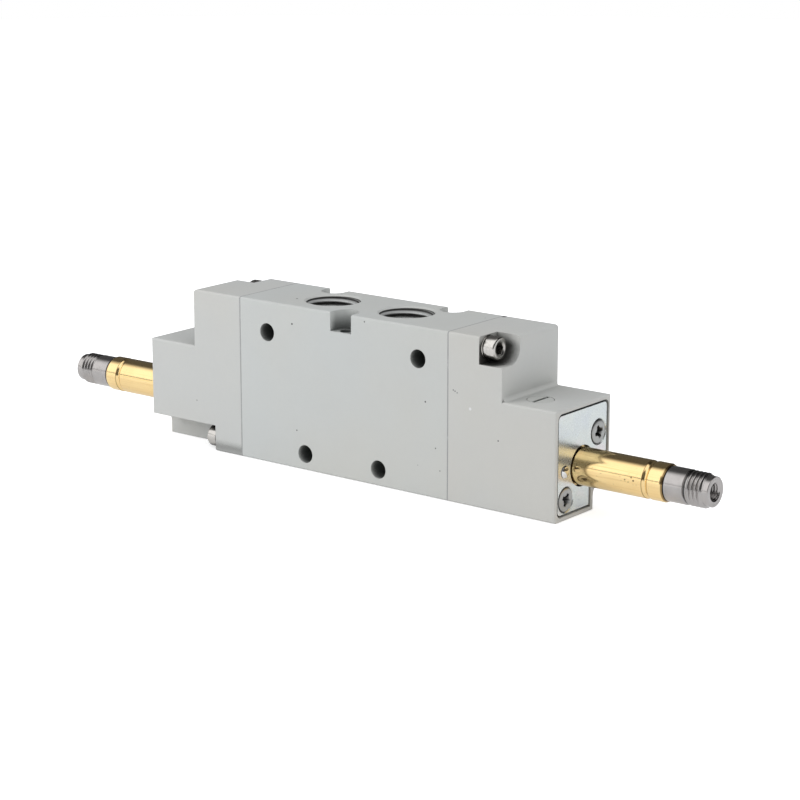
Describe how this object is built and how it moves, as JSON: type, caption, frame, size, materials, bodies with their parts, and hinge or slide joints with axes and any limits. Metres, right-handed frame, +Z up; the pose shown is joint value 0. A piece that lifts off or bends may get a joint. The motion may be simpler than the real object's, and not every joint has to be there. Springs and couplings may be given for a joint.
{
  "type": "double-solenoid spool valve",
  "caption": "Inline air valve with a die-cast port block, stepped end caps, brass guide tubes with steel plugs, slotted manual overrides and a sliding sealed spool, without its coils",
  "frame": {"origin": "centre of the underside, midway between the two ends and between the front and rear faces", "axes": "+X along the spool towards the right-hand coil tube, -Y out of the front face, +Z up out of the two upper ports"},
  "size_m": [0.192, 0.022, 0.04],
  "materials": {
    "cast_body": "die-cast aluminium, fine satin grey coating with casting specks",
    "cast_cap": "die-cast aluminium, fine satin grey coating",
    "gasket": "pale grey sheet gasket",
    "cap_screw_steel": "bright nickel-plated steel",
    "washer": "plain steel",
    "zinc_plate": "bluish zinc plate",
    "zinc_screw": "bluish zinc plate",
    "pin_steel": "bright ground steel",
    "brass_tube": "drawn brass",
    "seal_rubber": "black nitrile rubber",
    "plug_steel": "turned stainless steel",
    "nozzle_brass": "turned brass",
    "armature_steel": "turned ferritic steel",
    "spring_steel": "stainless spring wire",
    "override_metal": "nickel-plated steel",
    "spool_metal": "turned aluminium",
    "piston_plastic": "natural acetal plastic"
  },
  "bodies": {
    "valve_body": {"body": "cast_body", "left_gasket": "gasket", "right_gasket": "gasket", "left_cap": "cast_cap", "right_cap": "cast_cap", "cap_screws": "cap_screw_steel", "cap_screw_washers": "washer", "left_end_plate": "zinc_plate", "right_end_plate": "zinc_plate", "plate_screws": "zinc_screw", "coil_pins": "pin_steel", "left_guide_tube": "brass_tube", "right_guide_tube": "brass_tube", "tube_seal_rings": "seal_rubber", "left_plug": "plug_steel", "right_plug": "plug_steel", "left_nozzle": "nozzle_brass", "right_nozzle": "nozzle_brass", "gallery_balls": "pin_steel", "left_spring": "spring_steel", "right_spring": "spring_steel", "override_keepers": "pin_steel"},
    "sliding_spool": {"spool": "spool_metal", "spool_seals": "seal_rubber", "left_piston": "piston_plastic", "right_piston": "piston_plastic", "left_piston_seal": "seal_rubber", "right_piston_seal": "seal_rubber"},
    "left_plunger": {"left_armature": "armature_steel", "left_armature_pads": "seal_rubber"},
    "right_plunger": {"right_armature": "armature_steel", "right_armature_pads": "seal_rubber"},
    "left_lever": {"left_override": "override_metal", "left_override_seal": "seal_rubber"},
    "right_lever": {"right_override": "override_metal", "right_override_seal": "seal_rubber"}
  },
  "joints": [
    {"name": "spool_slide", "type": "slide", "parent": "valve_body", "child": "sliding_spool", "axis": [1, 0, 0], "range_m": [0, 0.0036]},
    {"name": "right_override_turn", "type": "hinge", "parent": "valve_body", "child": "right_lever", "pos_m": [0.052, -0.0034, 0.02], "axis": [0, 0, -1], "range_deg": [0, 180]},
    {"name": "left_override_turn", "type": "hinge", "parent": "valve_body", "child": "left_lever", "pos_m": [-0.052, 0.0034, 0.02], "axis": [0, 0, -1], "range_deg": [0, 180]},
    {"name": "right_plunger_lift", "type": "slide", "parent": "valve_body", "child": "right_plunger", "axis": [1, 0, 0], "range_m": [0, 0.0008], "deforming": ["right_spring"]},
    {"name": "left_plunger_lift", "type": "slide", "parent": "valve_body", "child": "left_plunger", "axis": [-1, 0, 0], "range_m": [0, 0.0008], "deforming": ["left_spring"]}
  ],
  "couplings": [
    {"joint": "right_override_turn", "follows": "right_plunger_lift", "rad_per_m": 3926.9},
    {"joint": "left_override_turn", "follows": "left_plunger_lift", "rad_per_m": 3926.9}
  ]
}
